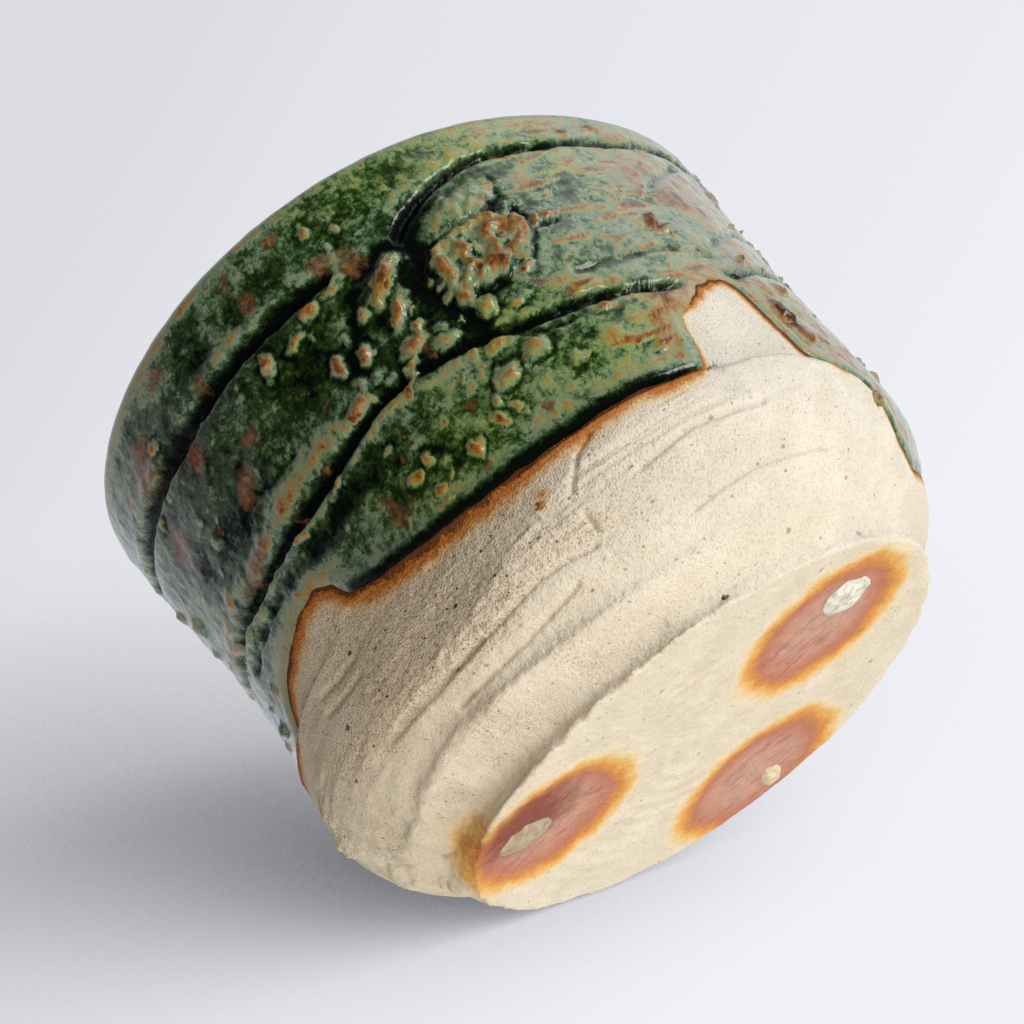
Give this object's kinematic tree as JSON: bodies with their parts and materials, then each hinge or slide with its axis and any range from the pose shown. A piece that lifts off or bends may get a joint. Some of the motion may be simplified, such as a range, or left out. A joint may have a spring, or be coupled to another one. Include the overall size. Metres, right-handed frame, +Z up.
{
  "type": "sake cup",
  "caption": "Small hand-built stoneware sake cup with a gouged wall under a thick green coat, a lined inside and a bare clay foot that it stands on.",
  "frame": {"origin": "centre of the foot's flat face, which the cup stands on", "axes": "+Z up out of the mouth; the pictured front faces -Y and the bare patch faces +X and -Y"},
  "size_m": [0.0696, 0.0701, 0.0545],
  "materials": {
    "foot_clay": "bare fired clay with wad marks",
    "wall_clay": "bare fired clay, sandy",
    "green_coat": "glossy mottled green glaze",
    "inside_coat": "glossy green glaze, pooled at the bottom",
    "wad_crust": "chalky fired wad clay",
    "clay_stone": "half-melted stone grain"
  },
  "bodies": {
    "root": {"base_slab": "foot_clay", "clay_wall": "wall_clay", "outer_glaze": "green_coat", "liner_glaze": "inside_coat", "wad_crust_1": "wad_crust", "wad_crust_2": "wad_crust", "wad_crust_3": "wad_crust", "foot_stone": "clay_stone", "side_stone": "clay_stone", "front_stone": "clay_stone"}
  },
  "joints": []
}
